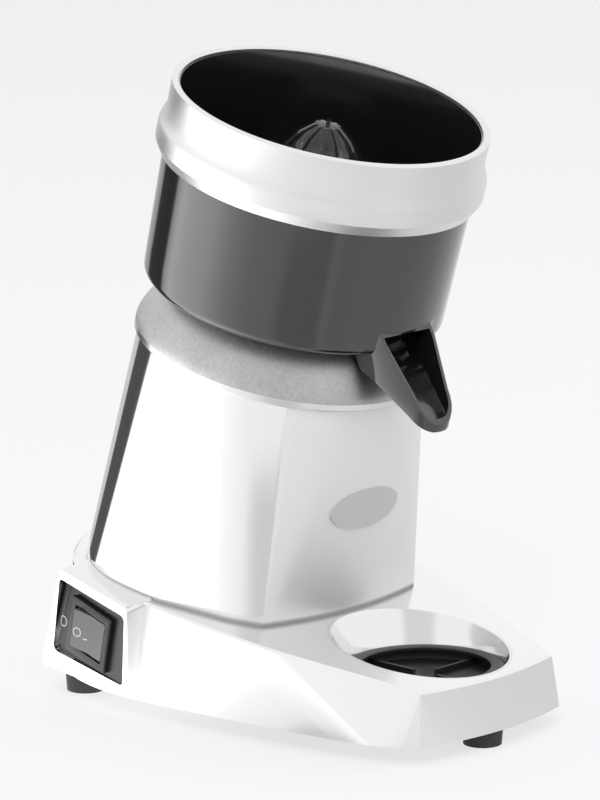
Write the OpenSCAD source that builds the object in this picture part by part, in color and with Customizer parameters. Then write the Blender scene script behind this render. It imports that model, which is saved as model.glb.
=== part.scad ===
// Counter-top citrus juicer with a leaning motor column, a lift-off juice bowl and a glass rest.
// Front is -Y, up is +Z, and the origin is the middle of the floor space that the machine takes.

/* [Stance] */
// Height from the counter to the top of the splash ring
total_h = 350; // [320:1:380]
// Forward lean of the motor, collar, bowl and ring, in degrees
lean = 15; // [10:0.5:18]
// How far the middle of the ring stands in front of the middle of the base
rim_forward = 17.3; // [10:0.1:26]

/* [Base] */
// Length of the base, front to back
base_len = 277; // [260:1:300]
// Width of the base at its underside
base_low_w = 176; // [166:1:184]
// Width of the base at its top edge
base_top_w = 186; // [180:1:196]
// Width of the flat nose at the underside
nose_low_w = 112; // [100:1:124]
// Width of the flat nose at the top edge
nose_top_w = 105; // [94:1:116]
// How far the nose bows out in the middle
nose_bow = 8; // [4:0.5:12]
// Set-back of the top outline from the underside, at nose and tail
draft_back = 5; // [3:0.5:8]
// Height of the nose wall
nose_h = 28; // [25:0.5:34]
// Slope of the base's top, rising to the back, in degrees
deck_slope = 9.6; // [8:0.2:11]
// Wall of the castings
cast_wall = 4; // [3:0.5:5]
// Rounding of the base's top edge
deck_round = 1.2; // [0.8:0.2:3]
// Thickness of the bottom plate
plate_t = 2; // [1.5:0.5:3]

/* [Feet] */
// Height of a rubber foot
foot_h = 9.6; // [8:0.2:14]
// Radius of a foot where it meets the base
foot_r = 11; // [9:0.2:12]
// Radius of a foot at the counter
foot_low_r = 10.2; // [8:0.2:12]
// Distance of the front foot from the nose
front_foot_in = 13.5; // [13:0.5:18]
// Distance between the two rear feet
rear_feet_apart = 132; // [110:1:140]
// How far the rear feet stand behind the middle of the base
rear_feet_back = 104; // [90:1:110]
// Radius of the foot screws
foot_screw_r = 2.5; // [2:0.1:3]

/* [Glass rest] */
// Radius of the level well that holds the black insert
well_r = 42; // [40:0.2:43]
// How far the middle of the well lies behind the nose
dish_back = 53.5; // [53:0.5:56]
// Height of the well's edge above the counter
well_z = 35.5; // [34:0.5:36.5]
// Flare of the dish's cone, from the upright, in degrees
dish_flare = 26.6; // [22:0.2:28]
// Depth of the well
well_h = 9.5; // [9:0.5:12]
// Thickness of the dish's sheet
dish_t = 1.2; // [1:0.1:1.6]
// Height of the black insert
insert_h = 9; // [7:0.5:9]
// Width of the insert's flat rim
insert_rim = 7; // [3:0.5:8]

/* [Column] */
// Radius of the column's round top
column_top_r = 78; // [74:0.5:80]
// Half width of the column's front face at the deck
front_face_half = 60; // [50:0.5:64]
// Half width of the column at the deck, where it is widest
column_half_w = 87; // [80:0.5:88]
// How far the front face stands behind the nose at the deck
column_back = 108.5; // [107:0.5:118]
// How far the column's back stands in front of the base's back
column_tail_in = 14; // [12:0.5:20]
// Bow of the front face
face_bow = 7; // [3:0.5:10]
// Height of the polished band under the collar
band_h = 4.6; // [3:0.2:6]
// Height of the collar
collar_h = 27.4; // [24:0.2:30]
// Radius of the collar's lower edge
collar_r = 80.2; // [80:0.2:84]
// Wall of the collar
collar_wall = 3; // [2:0.2:4]
// Width of the bare oval badge
badge_w = 52; // [40:1:60]
// Height of the bare oval badge
badge_h = 22; // [16:1:26]
// How far the badge stands proud
badge_t = 1.2; // [0.8:0.1:2]

/* [Bowl] */
// Depth from the top of the ring to the underside of the bowl
bowl_depth = 110; // [100:1:114]
// Radius of the bowl, inside the ring
bowl_r = 83.2; // [82:0.2:83.4]
// Radius of the bowl above its rounded bottom edge
bowl_low_r = 81.4; // [79:0.2:82]
// Wall of the bowl
bowl_wall = 2.4; // [2:0.1:3]
// Rounding of the bowl's bottom edge
bowl_edge = 5.5; // [5:0.5:9]
// Outer radius of the bowl's hub tube
hub_r = 14; // [13:0.2:15]
// Bore radius of the hub tube
hub_bore_r = 11; // [10:0.2:12]
// Height of the hub tube above the underside of the bowl
hub_h = 31; // [28:0.5:33]
// Radius of the hub's round foot in the bowl's floor
hub_foot_r = 24; // [20:0.5:28]
// Width of the spout at the bowl
spout_w = 40; // [34:0.5:42]
// Width of the spout at its tip
spout_tip_w = 28; // [24:0.5:32]
// How far the tip of the spout lies from the bowl's axis
spout_reach = 117; // [110:0.5:122]
// Drop from the bowl's underside to the tip of the spout
spout_drop = 29.5; // [27:0.5:31]
// Wall of the spout
spout_wall = 2.2; // [1.8:0.1:3]

/* [Splash ring] */
// Outer radius of the ring's lip
ring_r = 85.4; // [85:0.2:88]
// Greatest radius of the ring's bead
bead_r = 88.4; // [88:0.2:91]
// Height of the ring
ring_h = 39.5; // [34:0.5:42]
// Inner radius of the ring's lip
lip_in_r = 81.4; // [80.8:0.2:82]
// Thickness of the ring's sheet
ring_t = 1.5; // [1:0.1:1.8]

/* [Reamer and sieve] */
// How far the reamer's point lies below the top of the ring
reamer_down = 8.8; // [6:0.2:16]
// Height of the reamer, skirt to point
reamer_h = 68; // [60:0.5:69]
// Radius of the reamer's skirt
skirt_r = 34; // [30:0.5:38]
// Radius of the ribbed cone at its foot
cone_r = 29; // [25:0.5:30]
// Number of ribs
ribs = 10; // [8:1:12]
// How far the ribs stand out of the cone
rib_out = 3; // [2:0.2:4]
// Thickness of a rib
rib_t = 2.4; // [1.6:0.2:3]
// Height of the sieve above the underside of the bowl
sieve_up = 14; // [12:0.5:18]
// Radius of the sieve
sieve_r = 76; // [70:0.5:77]
// Thickness of the sieve
sieve_t = 1.6; // [1:0.2:2]
// Slots in each ring of the sieve
sieve_slots = 18; // [12:1:20]

/* [Drive] */
// Radius of the motor shaft
shaft_r = 7.5; // [6.5:0.1:8]
// Radius of the shaft's drive end
drive_r = 6; // [5:0.1:6.3]
// Radius of the stator
stator_r = 54; // [48:0.5:56]
// Height of the stator and rotor stacks
stack_h = 50; // [40:1:54]
// Radius of the rotor
rotor_r = 29.5; // [26:0.5:32]
// Air gap between rotor and stator
air_gap = 0.5; // [0.4:0.1:1]
// Height of a winding's end turns
winding_h = 13; // [10:0.5:14]
// Thickness of the motor's end shields
shield_t = 4.6; // [4:0.2:5]
// Outer radius of the ball bearings
bearing_r = 17.5; // [16:0.5:19]
// Height of the ball bearings
bearing_h = 11; // [9:0.5:12]
// Radius of the fan
fan_r = 40; // [30:0.5:44]

/* [Switch] */
// How far the switch housing reaches from the machine's middle plane
switch_reach = 103; // [101:0.5:106]
// How far the switch housing's face stands behind the middle of the base
switch_back = 74.5; // [70:0.5:78]
// Height of the middle of the face above the counter
switch_up = 42; // [40:0.5:45]
// Turn of the face towards the back, in degrees
switch_turn = 7.5; // [5:0.5:10]
// Overhang of the face, in degrees
switch_tip = 10; // [6:0.5:12]
// Lean of the black plate into the face, in degrees
panel_tilt = 10; // [6:0.5:12]
// Depth of the plate's recess at its lower edge
recess = 1; // [0.5:0.5:2]
// Turn of the switch on the plate, in degrees
switch_roll = 13; // [8:0.5:16]
// Size of the rocker across its pivot
rocker_w = 25; // [22:0.5:26]
// Size of the rocker along its pivot
rocker_l = 22; // [20:0.5:24]
// Half of the rocker's swing, in degrees
rocker_swing = 8; // [5:0.5:10]

/* [Hidden] */
$fn = 96;

// Clearances and overruns that the pieces share
run_gap = 0.05;     // shaft in a running hole
lift_gap = 0.3;     // between pieces that lift apart
over = 1;           // overrun of a cut
skin = 0.01;        // thickness of a slice that a hull joins

// The leaning unit: w runs up the axis from where it meets the counter
rim_z = total_h - ring_r * sin(lean);
rim_w = rim_z / cos(lean);
axis_y = rim_z * tan(lean) - rim_forward;
bowl_w = rim_w - bowl_depth;
collar_top_w = bowl_w - lift_gap;
band_top_w = collar_top_w - collar_h;
column_top_w = band_top_w - band_h;
plane_x = (switch_reach - base_top_w / 2) / 2;

// The deck: the sloping top of the base
nose_y = -base_len / 2;
deck_nose_y = nose_y + draft_back;
deck_z = foot_h + nose_h;
dish_y = nose_y + dish_back;
column_front_y = nose_y + column_back;
column_rear_y = base_len / 2 - column_tail_in;

// Outlines of one side, from nose to tail: shares of the half width and of the length
low_side_shares = [[0.761, 0.094], [0.83, 0.173], [0.875, 0.264], [0.932, 0.4], [0.955, 0.473], [0.989, 0.581],
    [1, 0.671], [0.99, 0.744], [0.94, 0.816], [0.86, 0.877], [0.71, 0.937], [0.5, 0.977], [0.26, 0.995]];
top_side_shares = [[0.675, 0.13], [0.79, 0.249], [0.868, 0.341], [0.935, 0.471], [0.98, 0.601], [1, 0.704],
    [0.994, 0.765], [0.946, 0.823], [0.892, 0.856], [0.796, 0.892], [0.65, 0.932], [0.46, 0.967], [0.24, 0.992]];
column_side_shares = [[0.805, 0.139], [0.874, 0.24], [0.943, 0.344], [0.983, 0.419], [1, 0.534], [0.994, 0.644],
    [0.943, 0.735], [0.851, 0.806], [0.7, 0.882], [0.49, 0.95], [0.25, 0.988]];
curve_steps = 4;
nose_steps = 8;

function between(a, b, c, d, t) = 0.5 * (2 * b + (c - a) * t + (2 * a - 5 * b + 4 * c - d) * t * t
    + (3 * b - a - 3 * c + d) * t * t * t);
function smooth(p) = [for (i = [0 : len(p) - 2]) for (k = [0 : curve_steps - 1])
    between(p[max(i - 1, 0)], p[i], p[i + 1], p[min(i + 2, len(p) - 1)], k / curve_steps), p[len(p) - 1]];
function flipped(p) = [for (i = [len(p) - 2 : -1 : 1]) [-p[i][0], p[i][1]]];
function bowed(half, y, bow) = [for (k = [-nose_steps : nose_steps - 1])
    [half * k / nose_steps, y + bow * (k / nose_steps) * (k / nose_steps)]];

// A closed outline: bowed front edge and smooth sides that meet at the tail
function outline(half, length, front_half, front_y, bow, shares) =
    let (side = smooth(concat([[front_half, front_y + bow]],
            [for (s = shares) [half * s[0], front_y + length * s[1]]], [[0, front_y + length]])))
    concat(bowed(front_half, front_y, bow), side, flipped(side));

low_outline = outline(base_low_w / 2, base_len, nose_low_w / 2, nose_y, nose_bow, low_side_shares);
top_outline = outline(base_top_w / 2, base_len - 2 * draft_back, nose_top_w / 2, deck_nose_y, nose_bow - draft_back / 2,
    top_side_shares);
column_outline = outline(column_half_w, column_rear_y - column_front_y, front_face_half, column_front_y, face_bow,
    column_side_shares);

// The column's round top, a little flatter across the front face
crease_turn = 42;
face_flat_share = 0.03;
ring_steps = 72;
function top_radius(a) = column_top_r * (abs(a) < crease_turn
    ? 1 - face_flat_share * (1 - (a / crease_turn) * (a / crease_turn)) : 1);
column_top_outline = [for (k = [0 : ring_steps - 1]) let (a = 360 * k / ring_steps - 180)
    [top_radius(a) * sin(a), -top_radius(a) * cos(a)]];

module on_plane() { translate([plane_x, 0, 0]) children(); }
// Along the leaning axis, at height w
module on_axis(w) { on_plane() translate([0, axis_y, 0]) rotate([lean, 0, 0]) translate([0, 0, w]) children(); }
// A slice of an outline laid on the deck; its y is kept in plan
module deck_slice(points, drop, inset) {
    translate([0, deck_nose_y, deck_z - drop]) rotate([deck_slope, 0, 0])
        linear_extrude(skin) offset(delta = -inset)
            polygon([for (p = points) [p[0], (p[1] - deck_nose_y) / cos(deck_slope)]]);
}
module axis_slice(w, inset) {
    translate([0, axis_y, 0]) rotate([lean, 0, 0]) translate([0, 0, w]) linear_extrude(skin)
        offset(delta = -inset) polygon(column_top_outline);
}
module base_form() {
    hull() {
        translate([0, 0, foot_h]) linear_extrude(skin) polygon(low_outline);
        deck_slice(top_outline, deck_round, 0);
        deck_slice(top_outline, skin, deck_round);
    }
}
module base_hollow() {
    hull() {
        translate([0, 0, foot_h - over]) linear_extrude(skin) offset(delta = -cast_wall) polygon(low_outline);
        deck_slice(top_outline, deck_round + cast_wall, cast_wall);
    }
}
column_seat = 0.05;
module column_form(grow) {
    hull() {
        deck_slice(column_outline, -column_seat, -grow);
        axis_slice(column_top_w - skin, -grow);
    }
}
cavity_drop = 6;
module column_hollow() {
    hull() {
        deck_slice(column_outline, cavity_drop, cast_wall);
        axis_slice(column_top_w + over, cast_wall);
    }
}

// Feet and the screws in the base
front_foot_y = nose_y + front_foot_in;
foot_places = [[0, front_foot_y], [-rear_feet_apart / 2, rear_feet_back], [rear_feet_apart / 2, rear_feet_back]];
foot_boss_r = 6;
foot_boss_h = 5;
plate_boss_r = 4.5;
plate_boss_h = 12;
plate_screw_r = 1.8;
plate_screw_head_r = 3.4;
plate_screw_head_h = 1.6;
plate_screw_len = 10;
plate_places_shares = [[-0.72, -0.2], [0.72, -0.2], [-0.22, 0.88], [0.22, 0.88]];
plate_places = [for (s = plate_places_shares) [s[0] * base_low_w / 2, s[1] * base_len / 2]];
plate_fit = 0.2;
plate_gap = 0.7;

module base() color("gainsboro") {
    on_plane() {
        difference() {
            base_form();
            base_hollow();
            column_hollow();
            switch_window();
            panel_pocket(0);
            translate([0, dish_y, well_z]) rotate_extrude() polygon(dish_section(dish_skin + dish_fit, 0));
            translate([0, base_len / 2 + over, grommet_z]) rotate([90, 0, 0])
                cylinder(r = grommet_neck_r + plate_fit, h = cast_wall * 4);
        }
        for (p = foot_places) boss(p, foot_boss_r, foot_boss_h, foot_screw_r);
        for (p = plate_places) boss(p, plate_boss_r, plate_boss_h, plate_screw_r);
        boss_webs();
    }
}
// A screw boss that stands on the bottom plate
module boss(p, r, h, bore) {
    translate([p[0], p[1], foot_h + plate_t]) difference() {
        cylinder(r = r, h = h);
        translate([0, 0, -over]) cylinder(r = bore, h = h - over);
    }
}
// Webs that tie the bosses to the casting's wall
web_t = 3;
module boss_webs() {
    intersection() {
        base_form();
        translate([0, 0, foot_h + plate_t]) {
            difference() {
                for (p = concat(foot_places, plate_places)) {
                    reach = base_low_w / 2;
                    side = p[0] == 0 ? 0 : (p[0] > 0 ? 1 : -1);
                    if (side != 0) translate([side > 0 ? p[0] : p[0] - reach, p[1] - web_t / 2, 0])
                        cube([reach, web_t, foot_boss_h]);
                    else translate([-web_t / 2, p[1] - front_foot_in, 0]) cube([web_t, front_foot_in, foot_boss_h]);
                }
                for (p = foot_places) translate([p[0], p[1], -over]) cylinder(r = foot_screw_r, h = foot_boss_h + 2 * over);
                for (p = plate_places) translate([p[0], p[1], -over])
                    cylinder(r = plate_screw_r, h = foot_boss_h + 2 * over);
            }
        }
    }
}
module bottom_plate() color("silver") on_plane() {
    translate([0, 0, foot_h]) difference() {
        linear_extrude(plate_t) offset(delta = -cast_wall - plate_gap) polygon(low_outline);
        for (p = foot_places) translate([p[0], p[1], -over]) cylinder(r = foot_screw_r + plate_fit, h = plate_t + 2 * over);
        for (p = plate_places) translate([p[0], p[1], 0]) {
            translate([0, 0, -over]) cylinder(r = plate_screw_r + plate_fit, h = plate_t + 2 * over);
            translate([0, 0, -over]) cylinder(r = plate_screw_head_r + plate_fit, h = plate_screw_head_h + over);
        }
        for (k = [0 : vent_rows - 1]) translate([-vent_len / 2, vent_y + k * vent_pitch, -over])
            cube([vent_len, vent_w, plate_t + 2 * over]);
    }
}
vent_rows = 6;
vent_len = 60;
vent_w = 4;
vent_pitch = 9;
vent_y = -50;

module plate_screws() color("dimgray") on_plane() for (p = plate_places) translate([p[0], p[1], foot_h]) {
    cylinder(r = plate_screw_head_r, h = plate_screw_head_h);
    cylinder(r = plate_screw_r, h = plate_screw_len);
}
foot_recess_r = 5;
foot_recess_h = 4;
module feet() color("#2b2b2d") on_plane() for (p = foot_places) translate([p[0], p[1], 0]) rotate_extrude()
    polygon([[foot_screw_r, foot_recess_h], [foot_recess_r, foot_recess_h], [foot_recess_r, 0], [foot_low_r, 0],
        [foot_r, foot_h], [foot_screw_r, foot_h]]);
foot_screw_head_h = 2.5;
module foot_screws() color("silver") on_plane() for (p = foot_places) translate([p[0], p[1], 0]) {
    translate([0, 0, foot_recess_h - foot_screw_head_h]) cylinder(r = foot_recess_r - lift_gap * 2, h = foot_screw_head_h);
    translate([0, 0, foot_recess_h]) cylinder(r = foot_screw_r, h = foot_h - foot_recess_h + plate_t + foot_boss_h - 2 * over);
}

// Glass rest: a level well under an upright cone that the sloping deck cuts
dish_top_h = well_r * sin(deck_slope) + well_h * 2;
dish_skin = dish_t / cos(dish_flare);
dish_fit = 0.1;
function dish_section(grow, up) = [[0, -well_h - grow], [well_r + grow, -well_h - grow], [well_r + grow, 0],
    [well_r + grow + dish_top_h * tan(dish_flare), dish_top_h], [0, dish_top_h + up]];
module under_deck() translate([0, deck_nose_y, deck_z]) rotate([deck_slope, 0, 0])
    translate([-base_len, -base_len, -base_len]) cube([2 * base_len, 2 * base_len, base_len]);
module glass_dish() color("silver") on_plane() intersection() {
    translate([0, dish_y, well_z]) difference() {
        rotate_extrude() polygon(dish_section(dish_skin, 0));
        rotate_extrude() polygon(dish_section(0, over));
    }
    under_deck();
}
insert_wall = 1.6;
insert_ribs = 4;
insert_rib_t = 2;
insert_rib_h = 5;
insert_eye_r = 8;
insert_r = well_r - lift_gap;
insert_floor = well_z - well_h + lift_gap;
module drip_insert() color("#1b1b1d") on_plane() translate([0, dish_y, 0]) {
    translate([0, 0, insert_floor]) {
        rotate_extrude() polygon([[0, 0], [insert_r, 0], [insert_r, insert_h], [insert_r - insert_rim, insert_h],
            [insert_r - insert_rim, insert_h - insert_wall], [insert_r - insert_wall, insert_h - insert_wall],
            [insert_r - insert_wall, insert_wall], [0, insert_wall]]);
        difference() {
            for (k = [0 : insert_ribs - 1]) rotate([0, 0, 360 * k / insert_ribs])
                translate([0, -insert_rib_t / 2, insert_wall])
                    cube([insert_r - insert_wall, insert_rib_t, insert_rib_h - insert_wall]);
            translate([0, 0, insert_wall - over]) cylinder(r = insert_eye_r, h = insert_rib_h + over);
        }
    }
}

// Column, badge, band and collar
module column() color("whitesmoke") on_plane() difference() {
    column_form(0);
    column_hollow();
}
badge_z = 117;
badge_reach = 90;
module badge() color("darkgray") on_plane() difference() {
    intersection() {
        column_form(badge_t);
        translate([0, column_front_y, badge_z]) rotate([90 + lean, 0, 0]) translate([0, 0, -over])
            scale(badge_h / 2) linear_extrude(badge_reach) scale([badge_w / badge_h, 1]) circle(r = 1);
    }
    column_form(0);
}
module band() color("lightgray") on_axis(column_top_w) rotate_extrude() polygon([[shield_r + lift_gap, 0],
    [collar_r - band_step, 0], [collar_r, band_step], [collar_r, band_h], [shield_r + lift_gap, band_h]]);
band_step = 1.4;
shield_in = 3;
shield_r = column_top_r - shield_in;
collar_shares = [[0.7, 1], [0.78, 0.938], [0.823, 0.836], [0.864, 0.719], [0.905, 0.577], [0.94, 0.427],
    [0.97, 0.281], [0.989, 0.153], [0.998, 0.06], [1, 0]];
seal_r = 16;
collar_neck = 8;
module collar() color("darkgray") on_axis(band_top_w) rotate_extrude() polygon(concat(
    [for (s = collar_shares) [collar_r * s[0], collar_h * s[1]]],
    [for (i = [len(collar_shares) - 1 : -1 : 0]) [collar_r * collar_shares[i][0] - collar_wall,
        max(collar_h * collar_shares[i][1] - collar_wall, 0)]],
    [[seal_r + collar_wall, collar_h - collar_wall], [seal_r + collar_wall, collar_h - collar_neck],
        [seal_r, collar_h - collar_neck], [seal_r, collar_h]]));
seal_h = 6;
seal_lip = 0.3;
module shaft_seal() color("#242426") on_axis(collar_top_w - collar_neck) difference() {
    cylinder(r = seal_r, h = seal_h);
    translate([0, 0, -over]) cylinder(r = shaft_r + seal_lip, h = seal_h + 2 * over);
}

// Bowl: a drafted pot with a trough spout, round its hub
shoulder_h = 40;
bowl_top_gap = 2.3;
edge_steps = 5;
function edge_arc(r, y, rad) = [for (k = [0 : edge_steps]) let (a = 90 * k / edge_steps)
    [r - rad + rad * cos(a), y - rad * sin(a)]];
bowl_top = bowl_depth - bowl_top_gap;
module bowl_shell() rotate_extrude() polygon(concat(
    [[bowl_r, bowl_top], [bowl_r, bowl_depth - shoulder_h]],
    edge_arc(bowl_low_r, bowl_edge, bowl_edge),
    [[hub_foot_r, 0], [hub_foot_r, bowl_wall]],
    [for (i = [edge_steps : -1 : 0]) edge_arc(bowl_low_r - bowl_wall, bowl_edge, bowl_edge - bowl_wall)[i]],
    [[bowl_r - bowl_wall, bowl_depth - shoulder_h], [bowl_r - bowl_wall, bowl_top]]));
// Spout in side view: u runs forward from the axis, w up it from the underside of the bowl
spout_back = 58;
spout_foot_u = 66;
spout_foot_w = -3;
spout_heel_u = 72;
spout_heel_w = -9.8;
spout_knee_u = 84;
spout_knee_w = -12.2;
spout_brow_u = 112;
spout_brow_h = 8.5;
spout_lip_h = 4;
spout_fin_h = 14.5;
spout_mouth_h = 12;
spout_low_points = [[spout_back, 0], [spout_foot_u, spout_foot_w], [spout_heel_u, spout_heel_w], [spout_knee_u, spout_knee_w],
    [spout_reach, -spout_drop]];
spout_side = concat(spout_low_points, [[spout_reach, spout_lip_h - spout_drop],
    [spout_brow_u, spout_lip_h + spout_brow_h - spout_wall - spout_drop], [bowl_low_r - bowl_wall, spout_fin_h],
    [spout_back, spout_fin_h]]);
spout_bore = concat([for (p = spout_low_points) [p[0] + (p[0] == spout_back ? spout_wall : 0), p[1] + spout_wall]],
    [[spout_reach + over, spout_wall - spout_drop], [spout_reach + over, spout_fin_h + over],
        [bowl_low_r + over, spout_fin_h + over], [bowl_low_r + over, spout_mouth_h],
        [spout_back + spout_wall, spout_mouth_h]]);
tip_round = 12;
tip_steps = 6;
function spout_plan(inset, reach) = let (tip = spout_tip_w / 2 - inset, root = spout_w / 2 - inset, rad = tip_round - inset)
    concat([[root, spout_back + inset], [root, spout_knee_u]],
        [for (k = [0 : tip_steps]) let (a = 90 * k / tip_steps) [tip - rad + rad * cos(a), reach - rad + rad * sin(a)]],
        [for (k = [tip_steps : -1 : 0]) let (a = 90 * k / tip_steps)
            [rad - tip - rad * cos(a), reach - rad + rad * sin(a)]],
        [[-root, spout_knee_u], [-root, spout_back + inset]]);
module spout_prism(side, plan) intersection() {
    translate([-spout_w, 0, 0]) rotate([90, 0, 90]) mirror([1, 0, 0]) linear_extrude(2 * spout_w) polygon(side);
    translate([0, 0, -2 * spout_drop]) mirror([0, 1, 0]) linear_extrude(4 * spout_drop) polygon(plan);
}
sieve_post_r = 3;
sieve_post_at = 66;
sieve_posts = 4;
module bowl() color("#1f1f22") on_axis(bowl_w) {
    difference() {
        union() {
            bowl_shell();
            difference() {
                spout_prism(spout_side, spout_plan(0, spout_reach));
                translate([0, 0, bowl_wall]) cylinder(r = bowl_low_r - bowl_wall, h = bowl_depth);
            }
        }
        spout_prism(spout_bore, spout_plan(spout_wall, spout_reach - spout_wall));
    }
    for (k = [0 : sieve_posts - 1]) rotate([0, 0, 45 + 360 * k / sieve_posts]) translate([sieve_post_at, 0, bowl_wall / 2])
        cylinder(r = sieve_post_r, h = sieve_up - bowl_wall / 2);
}
// Hub: a tube on a round foot that closes the bowl's floor
module bowl_hub() color("#1f1f22") on_axis(bowl_w) rotate_extrude() polygon([[hub_bore_r, 0], [hub_foot_r, 0],
    [hub_foot_r, bowl_wall], [hub_r, bowl_wall], [hub_r, hub_h], [hub_bore_r, hub_h]]);
sieve_hole_gap = 1;
sieve_hole_r = hub_r + sieve_hole_gap;
sieve_rim_h = 5;
sieve_rim_t = 1.6;
slot_w = 3;
slot_len = 20;
slot_rings = [24, 49];
module sieve() color("#37373b") on_axis(bowl_w + sieve_up) {
    difference() {
        cylinder(r = sieve_r, h = sieve_t);
        translate([0, 0, -over]) cylinder(r = sieve_hole_r, h = sieve_t + 2 * over);
        for (start = slot_rings) for (k = [0 : sieve_slots - 1]) rotate([0, 0, 360 * k / sieve_slots])
            translate([start, -slot_w / 2, -over]) cube([slot_len, slot_w, sieve_t + 2 * over]);
    }
    difference() {
        cylinder(r = sieve_r, h = sieve_rim_h);
        translate([0, 0, -over]) cylinder(r = sieve_r - sieve_rim_t, h = sieve_rim_h + 2 * over);
    }
}

// Splash ring: a rolled lip, a straight neck and a bead over the bowl's shoulder
lip_h = 2;
bead_low_r = 85.05;
ring_neck_h = 17;
ring_bead_up_h = 24;
ring_bead_low_h = 33.5;
module splash_ring() color("lightgray") on_axis(rim_w) rotate_extrude() polygon([
    [lip_in_r, -lip_h], [lip_in_r, -lip_h / 2], [lip_in_r + lip_h / 2, 0], [ring_r - lip_h / 2, 0], [ring_r, -lip_h / 2],
    [ring_r, -ring_neck_h], [bead_r - ring_t / 2, -ring_bead_up_h + ring_t], [bead_r, -ring_bead_up_h - ring_t],
    [bead_r, -ring_bead_low_h], [bead_low_r, -ring_h], [bead_low_r - ring_t, -ring_h],
    [bead_r - ring_t, -ring_bead_low_h], [bead_r - ring_t, -ring_bead_up_h - ring_t],
    [bead_r - 2 * ring_t, -ring_bead_up_h], [ring_r - ring_t, -ring_neck_h], [ring_r - ring_t, -lip_h]]);

// Reamer: a hollow ribbed cone with a skirt over the hub tube
reamer_w = rim_w - reamer_down - reamer_h;
cone_shares = [[1, 0.1], [0.99, 0.2], [0.94, 0.35], [0.86, 0.5], [0.75, 0.64], [0.6, 0.77], [0.42, 0.88], [0.2, 0.955],
    [0, 0.965]];
reamer_wall = 2.4;
skirt_h = 5;
skirt_wall = 1.6;
rib_fade_share = 0.2;
module reamer() color([0.55, 0.57, 0.6, 0.55]) on_axis(reamer_w) {
    difference() {
        union() {
            rotate_extrude() polygon(concat([[0, 0], [cone_r, 0]], [for (s = cone_shares) [cone_r * s[0], reamer_h * s[1]]]));
            rotate_extrude() polygon([[0, 0], [skirt_r, 0], [skirt_r, skirt_wall], [cone_r, skirt_h], [0, skirt_h]]);
            for (k = [0 : ribs - 1]) rotate([90, 0, 360 * k / ribs]) translate([0, 0, -rib_t / 2]) linear_extrude(rib_t)
                polygon(concat([[0, skirt_h / 2], [cone_r, skirt_h / 2]],
                    [for (s = cone_shares) [cone_r * s[0] + rib_out * min(1, s[0] + rib_fade_share), reamer_h * s[1]]], [[0, reamer_h]]));
        }
        translate([0, 0, -over]) cylinder(r = hub_r + reamer_wall, h = hub_cover_h + over);
        translate([0, 0, -over]) cylinder(r = insert_boss_r, h = insert_top + over);
    }
}
hub_cover_h = 8;
insert_boss_r = 10;
insert_top = 44;
// A moulded drive bush pressed into the reamer
bush_bore = 38;
pin_slot_h = 8;
module reamer_insert() color("#3a3a3e") on_axis(reamer_w) difference() {
    translate([0, 0, bush_low]) cylinder(r = insert_boss_r, h = insert_top - bush_low);
    translate([0, 0, bush_low - over]) cylinder(r = drive_r + run_gap, h = bush_bore - bush_low + over);
    translate([-insert_boss_r - over, -pin_r - lift_gap, bush_low - over])
        cube([2 * (insert_boss_r + over), 2 * (pin_r + lift_gap), pin_slot_h + over + pin_r + lift_gap]);
}
bush_low = 2;
pin_r = 2;
pin_len = 17;

// Drive: one shaft from the fan to the reamer
motor_gap = 3;
fan_h = 10;
stack_w = column_top_w - winding_h - bearing_h - motor_gap - stack_h;
lower_shield_w = stack_w - winding_h - motor_gap - bearing_h;
shaft_low_w = lower_shield_w - fan_h - motor_gap;
shaft_step_drop = 1;
shaft_step_w = bowl_w - shaft_step_drop;
shaft_top_w = reamer_w + bush_bore - over;
pin_w = reamer_w + bush_low + pin_slot_h;
module shaft() color("lightsteelblue") {
    on_axis(0) difference() {
        union() {
            translate([0, 0, shaft_low_w]) cylinder(r = shaft_r, h = shaft_step_w - shaft_low_w);
            translate([0, 0, shaft_step_w - over]) cylinder(r = drive_r, h = shaft_top_w - shaft_step_w + over);
        }
        translate([-insert_boss_r, 0, pin_w]) rotate([0, 90, 0]) cylinder(r = pin_r, h = 2 * insert_boss_r);
    }
}
module drive_pin() color("silver") on_axis(pin_w) translate([-pin_len / 2, 0, 0]) rotate([0, 90, 0])
    cylinder(r = pin_r, h = pin_len);
module rotor() color("slategray") on_axis(stack_w) difference() {
    cylinder(r = rotor_r, h = stack_h);
    translate([0, 0, -over]) cylinder(r = shaft_r, h = stack_h + 2 * over);
}
fan_hub_r = 12;
fan_disc_t = 2;
fan_blades = 9;
blade_t = 1.6;
module fan() color("#4a4a4e") on_axis(shaft_low_w + over) difference() {
    union() {
        cylinder(r = fan_hub_r, h = fan_h);
        cylinder(r = fan_r, h = fan_disc_t);
        for (k = [0 : fan_blades - 1]) rotate([0, 0, 360 * k / fan_blades]) translate([0, -blade_t / 2, 0])
            cube([fan_r - over, blade_t, fan_h - over]);
    }
    translate([0, 0, -over]) cylinder(r = shaft_r, h = fan_h + 2 * over);
}
module bearing() difference() {
    cylinder(r = bearing_r, h = bearing_h);
    translate([0, 0, -over]) cylinder(r = shaft_r + run_gap, h = bearing_h + 2 * over);
}
bearing_cup_wall = 3;
bearing_seat_t = 1;
upper_bearing_w = column_top_w + shield_t - bearing_h;
module upper_bearing() color("silver") on_axis(upper_bearing_w) bearing();
module lower_bearing() color("silver") on_axis(lower_shield_w + bearing_seat_t) bearing();
bolt_in = 5;
bolt_ring_r = stator_r - bolt_in;
bolt_r = 2;
module bolt_holes(r, h) for (k = [0 : 3]) rotate([0, 0, 45 + 90 * k]) translate([bolt_ring_r, 0, -over])
    cylinder(r = r, h = h + 2 * over);
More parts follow.
